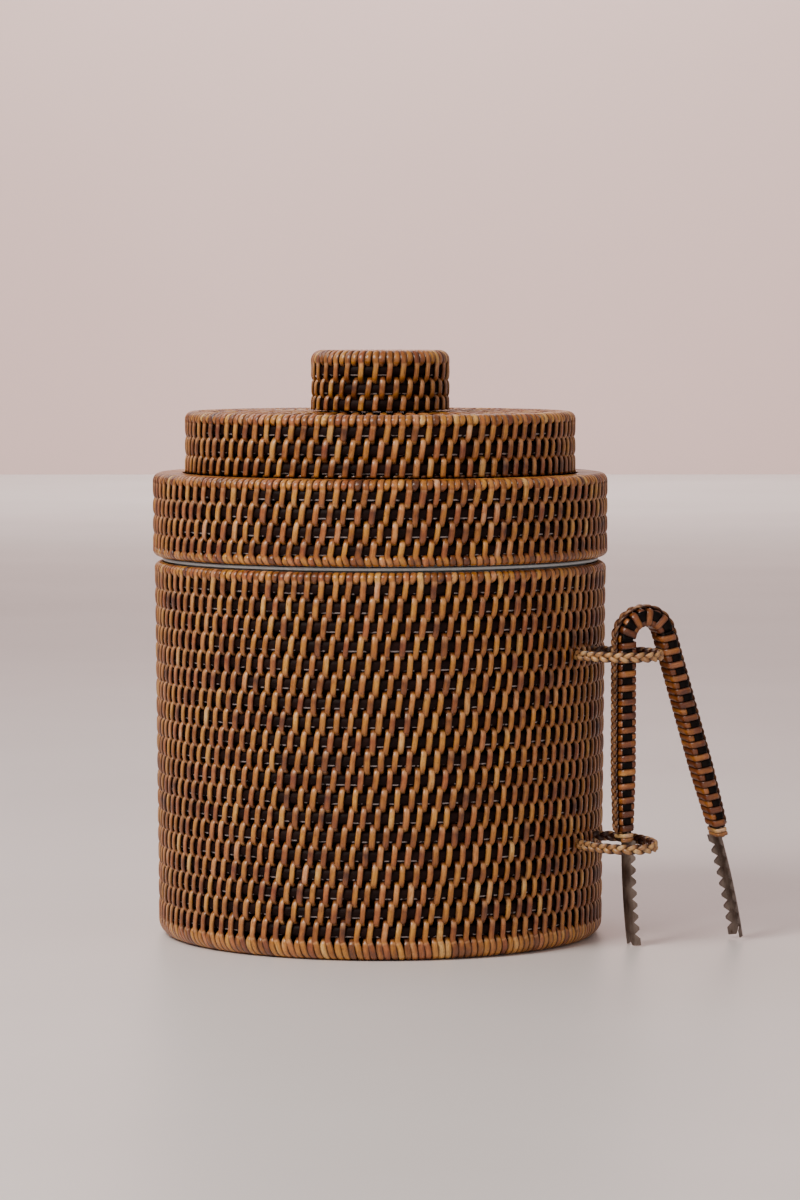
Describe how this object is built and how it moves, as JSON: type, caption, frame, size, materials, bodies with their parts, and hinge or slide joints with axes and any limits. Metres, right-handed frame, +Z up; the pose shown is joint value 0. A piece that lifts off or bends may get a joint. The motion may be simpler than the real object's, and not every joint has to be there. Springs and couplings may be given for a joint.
{
  "type": "ice bucket",
  "caption": "Round woven-cane ice bucket with a lift-out insulated liner, a stepped lid with a round knob, and sprung serrated tongs hung in braided side loops.",
  "frame": {"origin": "centre of the basket's foot, on the surface it stands on", "axes": "+Z up along the basket's axis; +X from the axis through the tongs' inner arm, where it hangs in the loops"},
  "size_m": [0.2584, 0.2014, 0.2585],
  "materials": {
    "rattan_strip": "satin",
    "rattan_rod": "satin",
    "rattan_braid": "satin",
    "core_wood": "matte",
    "liner_plastic": "gloss",
    "foam": "matte",
    "tong_steel": "satin"
  },
  "bodies": {
    "basket": {"basket_outer_weave": "rattan_strip", "basket_inner_weave": "rattan_strip", "basket_wall_rods": "rattan_rod", "basket_rim_wrap": "rattan_strip", "basket_rim_rod": "rattan_rod", "basket_base_wrap": "rattan_strip", "basket_base_rod": "rattan_rod", "basket_floor_weave": "rattan_strip", "basket_floor_rods": "rattan_rod", "basket_floor_lining": "rattan_strip", "upper_loop": "rattan_braid", "lower_loop": "rattan_braid"},
    "liner": {"liner_inner_cup": "liner_plastic", "liner_outer_shell": "liner_plastic", "liner_insulation": "foam"},
    "lid": {"lid_rim_wrap": "rattan_strip", "lid_rim_rod": "rattan_rod", "lid_skirt_weave": "rattan_strip", "lid_skirt_lining": "rattan_strip", "lid_skirt_rods": "rattan_rod", "lid_shoulder_weave": "rattan_strip", "lid_shoulder_rod": "rattan_rod", "lid_step_weave": "rattan_strip", "lid_step_lining": "rattan_strip", "lid_step_rods": "rattan_rod", "lid_top_weave": "rattan_strip", "lid_top_rod": "rattan_rod", "lid_top_rods": "rattan_rod", "lid_pan": "liner_plastic", "lid_seat_ring": "liner_plastic", "lid_insulation": "foam", "knob_weave": "rattan_strip", "knob_rods": "rattan_rod", "knob_core": "core_wood"},
    "tongs": {"inner_arm_strip": "tong_steel", "inner_arm_core": "rattan_rod", "inner_arm_wrap": "rattan_strip", "inner_arm_braid": "rattan_braid", "inner_arm_binding": "rattan_strip", "bow_strip": "tong_steel", "bow_core": "rattan_rod", "bow_wrap": "rattan_strip", "bow_braid": "rattan_braid"},
    "tongs_outer_arm": {"outer_arm_strip": "tong_steel", "outer_arm_core": "rattan_rod", "outer_arm_wrap": "rattan_strip", "outer_arm_braid": "rattan_braid", "outer_arm_binding": "rattan_strip"}
  },
  "joints": [
    {"name": "liner_lift", "type": "slide", "parent": "basket", "child": "liner", "axis": [0, 0, 1], "range_m": [0, 0.24]},
    {"name": "lid_lift", "type": "slide", "parent": "liner", "child": "lid", "axis": [0, 0, 1], "range_m": [0, 0.12]},
    {"name": "tongs_lift", "type": "slide", "parent": "basket", "child": "tongs", "axis": [0, 0, 1], "range_m": [0, 0.15], "deforming": ["upper_loop", "lower_loop"]},
    {"name": "tongs_squeeze", "type": "hinge", "parent": "tongs", "child": "tongs_outer_arm", "pos_m": [0.12206, 0.00611, 0.13934], "axis": [-0.7218, 0.6921, 0], "range_deg": [0, 17.8], "stiffness_Nm_per_rad": 1.6, "deforming": ["bow_strip", "bow_core", "bow_wrap", "bow_braid"]}
  ]
}
